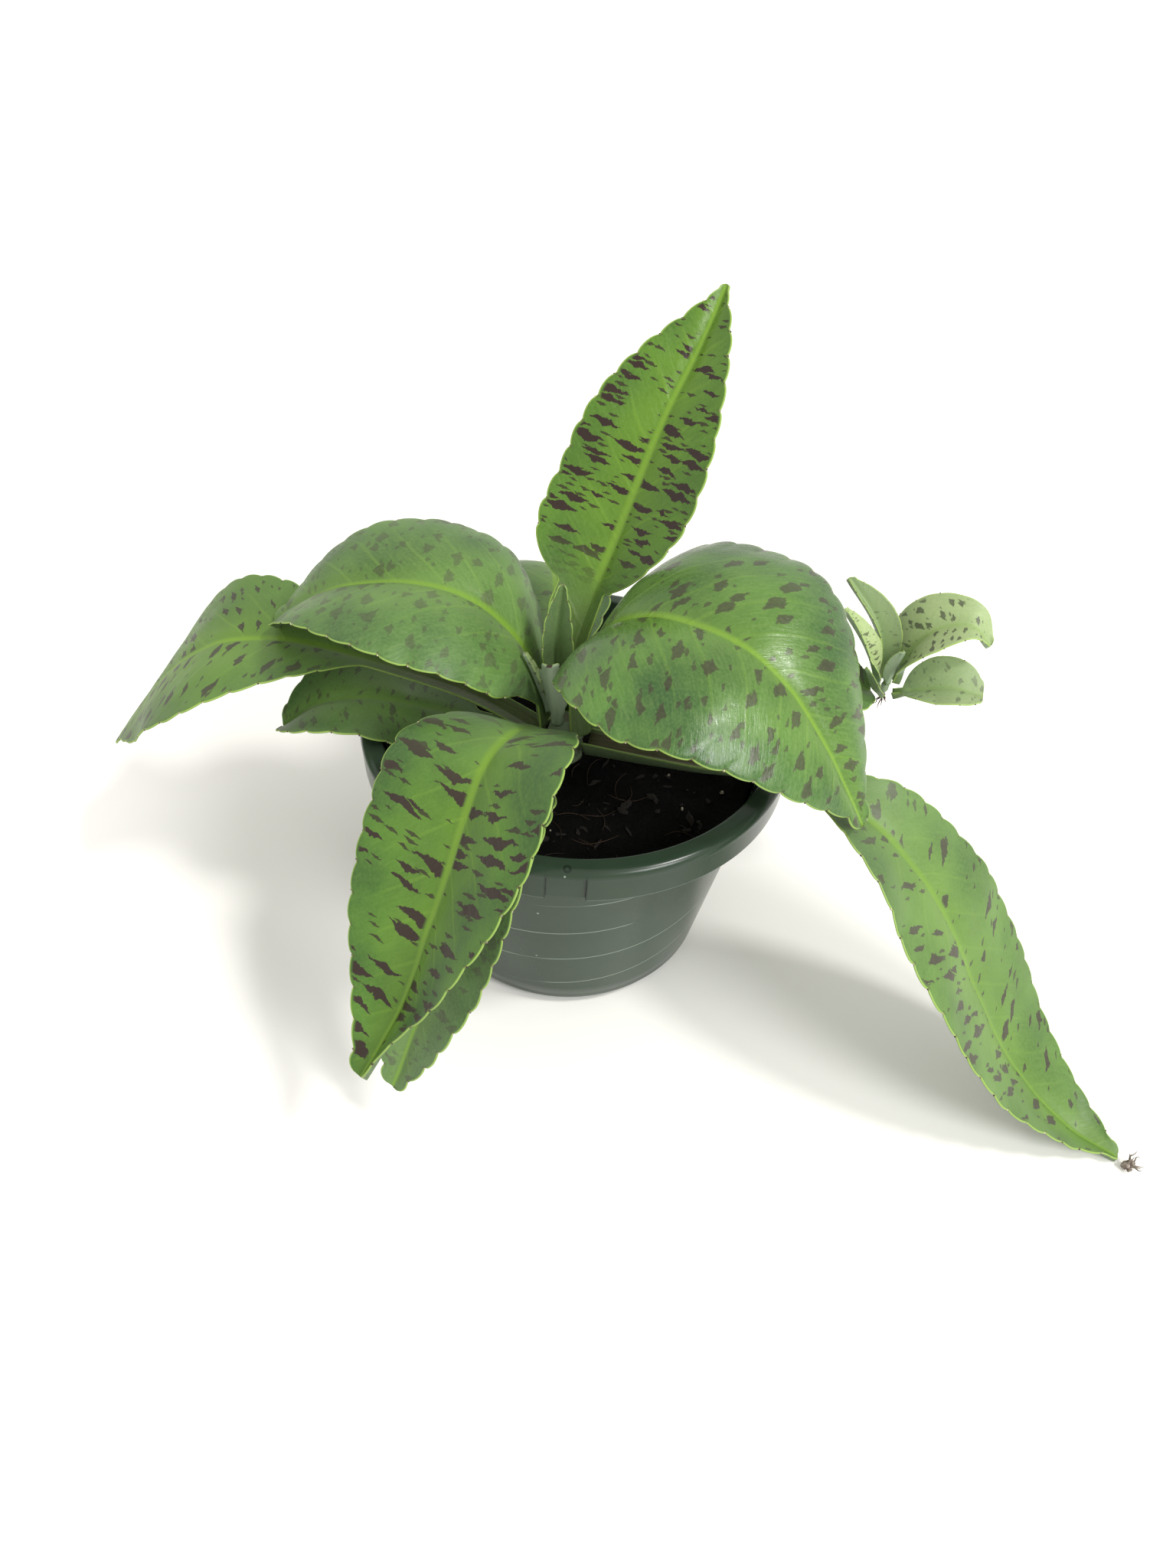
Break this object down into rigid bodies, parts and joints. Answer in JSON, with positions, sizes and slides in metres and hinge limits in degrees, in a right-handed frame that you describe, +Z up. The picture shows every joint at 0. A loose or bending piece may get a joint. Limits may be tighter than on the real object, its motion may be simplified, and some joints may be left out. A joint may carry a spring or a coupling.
{
  "type": "potted kalanchoe",
  "caption": "Large-leaved rosette kalanchoe with arching blotched leaves and a leaf-tip plantlet, growing in potting mix in a round tapered plastic nursery pot.",
  "frame": {"origin": "middle of the pot's flat base, on the surface that the pot stands on", "axes": "+Z up along the pot's axis; +X to the right and +Y to the back as seen from the front of the plant, where two leaves hang over the rim"},
  "size_m": [0.3872, 0.2329, 0.2222],
  "materials": {
    "pot_plastic": "satin",
    "potting_mix": "matte",
    "stem_skin": "satin",
    "leaf_blade": "satin",
    "young_leaf": "satin",
    "dried_root": "matte"
  },
  "bodies": {
    "root": {"nursery_pot": "pot_plastic", "potting_mix": "potting_mix", "stem": "stem_skin", "leaf_back_upright": "leaf_blade", "leaf_left_arching": "leaf_blade", "leaf_right_arching": "leaf_blade", "leaf_left_long": "leaf_blade", "leaf_left_low": "leaf_blade", "leaf_front_upper": "leaf_blade", "leaf_front_lower": "leaf_blade", "leaf_right_long": "leaf_blade", "leaf_back_right": "leaf_blade", "leaf_back_low": "leaf_blade", "young_leaf_back": "young_leaf", "young_leaf_front": "young_leaf", "young_leaf_left": "young_leaf", "plantlet_leaf_upright": "young_leaf", "plantlet_leaf_left": "young_leaf", "plantlet_leaf_small": "young_leaf", "plantlet_leaf_arching": "young_leaf", "plantlet_leaf_right": "young_leaf", "plantlet_leaf_centre": "young_leaf", "plantlet_stem": "stem_skin", "plantlet_roots": "dried_root", "tip_rootlets": "dried_root"}
  },
  "joints": []
}
